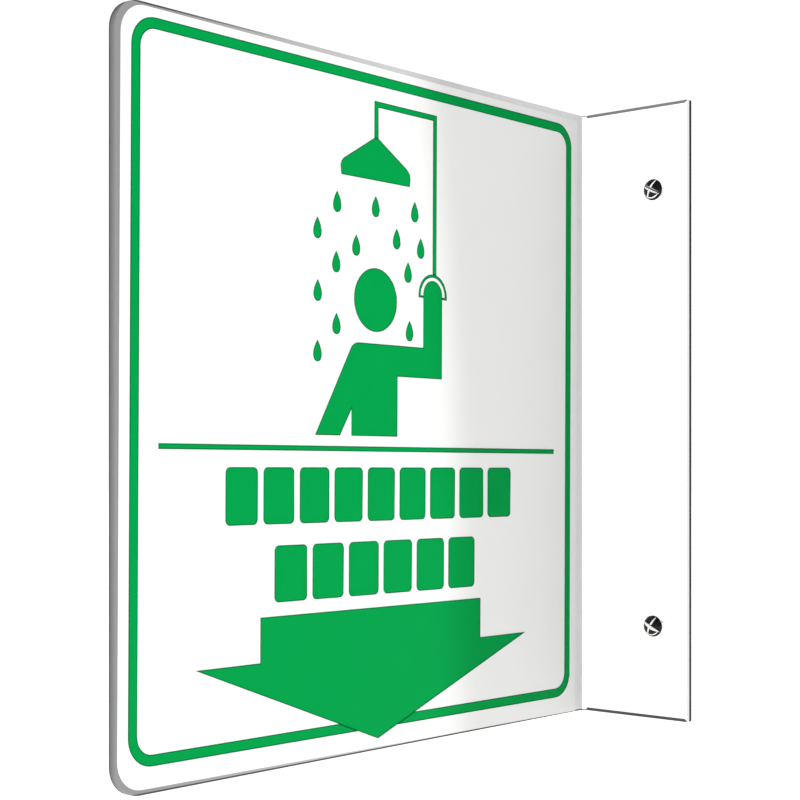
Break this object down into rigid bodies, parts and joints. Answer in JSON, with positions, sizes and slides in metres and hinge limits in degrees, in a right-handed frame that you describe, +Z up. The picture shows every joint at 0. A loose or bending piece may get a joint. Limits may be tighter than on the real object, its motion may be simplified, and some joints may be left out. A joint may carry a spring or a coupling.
{
  "type": "projecting wall sign",
  "caption": "Square acrylic sign panel that stands out from a wall on its bent flange, with green pictogram, arrow and border film on both faces, held by pan-head screws.",
  "frame": {"origin": "on the wall plane, which is the back of the flange, midway between the two screws", "axes": "+Y into the wall, +Z up; the panel stands out along -Y and the flange runs along +X"},
  "size_m": [0.0442, 0.2127, 0.2032],
  "materials": {
    "clear_acrylic": "clear cast sheet with polished edges",
    "white_film": "opaque white gloss vinyl film",
    "green_film": "safety green vinyl film, satin gloss",
    "screw_steel": "zinc plated, with a black painted head worn bright in the slots"
  },
  "bodies": {
    "root": {"acrylic_sheet": "clear_acrylic", "white_face_front": "white_film", "white_face_rear": "white_film", "border_front": "green_film", "border_rear": "green_film", "shower_pipe_front": "green_film", "shower_pipe_rear": "green_film", "shower_head_front": "green_film", "shower_head_rear": "green_film", "water_drops_front": "green_film", "water_drops_rear": "green_film", "pull_handle_front": "green_film", "pull_handle_rear": "green_film", "figure_head_front": "green_film", "figure_head_rear": "green_film", "figure_body_front": "green_film", "figure_body_rear": "green_film", "divider_front": "green_film", "divider_rear": "green_film", "legend_upper_front": "green_film", "legend_upper_rear": "green_film", "legend_lower_front": "green_film", "legend_lower_rear": "green_film", "arrow_front": "green_film", "arrow_rear": "green_film", "upper_screw": "screw_steel", "lower_screw": "screw_steel"}
  },
  "joints": []
}
